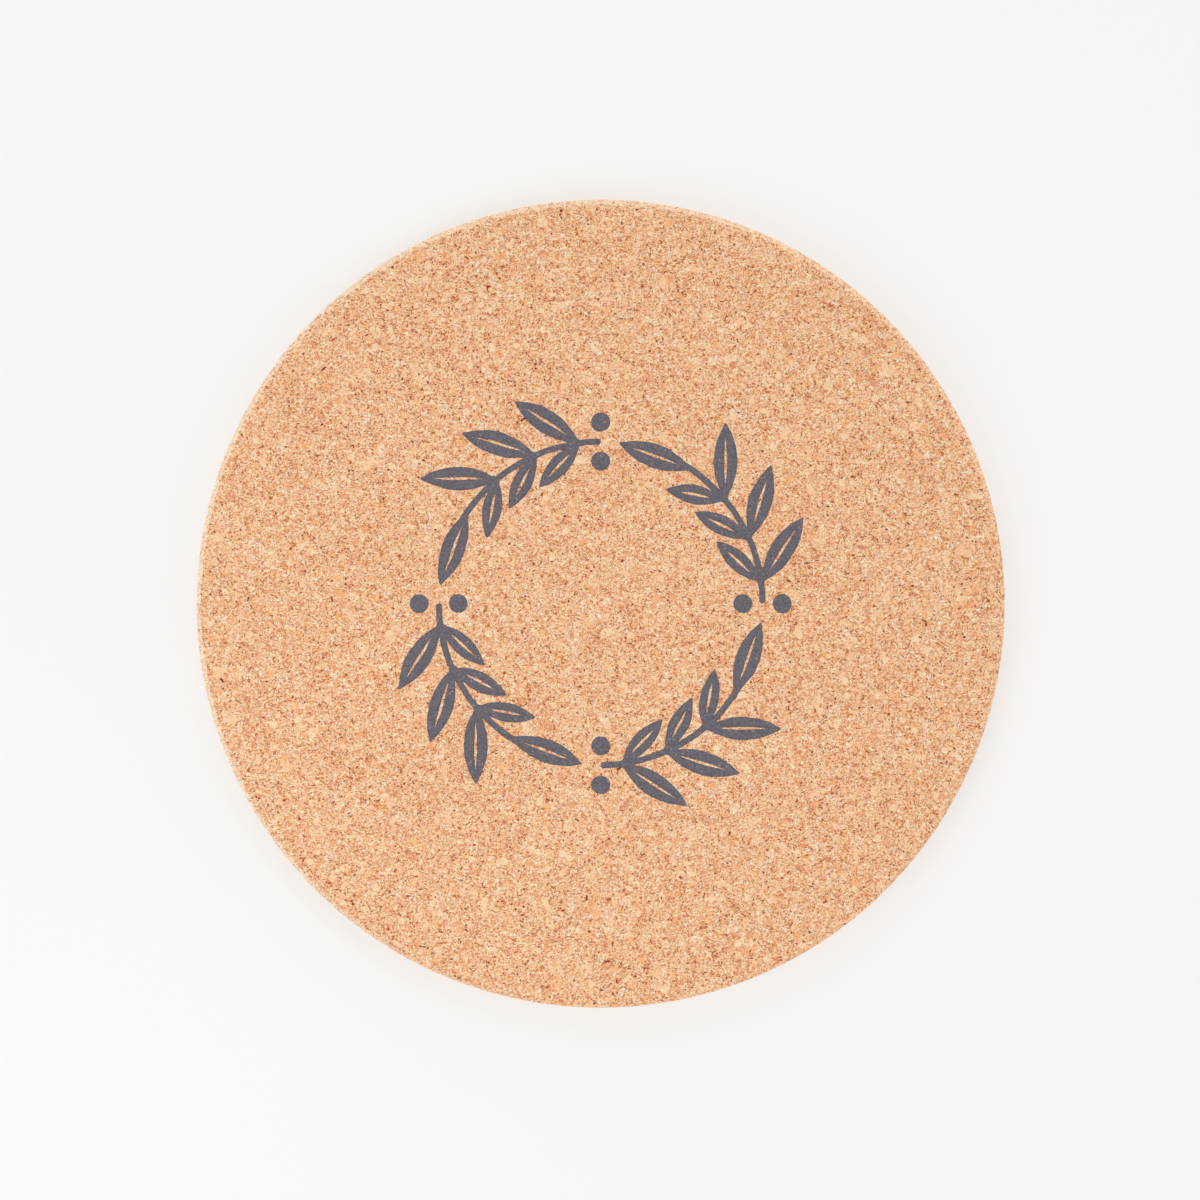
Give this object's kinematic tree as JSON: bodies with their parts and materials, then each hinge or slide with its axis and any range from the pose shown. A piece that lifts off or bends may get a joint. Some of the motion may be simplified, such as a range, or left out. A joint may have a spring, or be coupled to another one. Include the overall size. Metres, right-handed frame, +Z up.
{
  "type": "cork placemat",
  "caption": "Round cork placemat: a thick agglomerated cork disc with softened edges and a printed leaf wreath, laid flat to shield a table from plates and pans.",
  "frame": {"origin": "centre of the underside, the face that rests on the table", "axes": "+Z up, square to the board and out of its printed face; +Y towards the top of the face as pictured; +X towards its right"},
  "size_m": [0.29, 0.29, 0.0102],
  "materials": {
    "cork": "sanded fine-grained agglomerated cork, matt, peachy tan with cream, orange and dark brown granules",
    "ink": "matt slate-grey screen-print ink"
  },
  "bodies": {
    "root": {"cork_disc": "cork", "sprig_1": "ink", "sprig_2": "ink", "sprig_3": "ink", "sprig_4": "ink", "outer_berry_1": "ink", "outer_berry_2": "ink", "outer_berry_3": "ink", "outer_berry_4": "ink", "inner_berry_1": "ink", "inner_berry_2": "ink", "inner_berry_3": "ink", "inner_berry_4": "ink"}
  },
  "joints": []
}
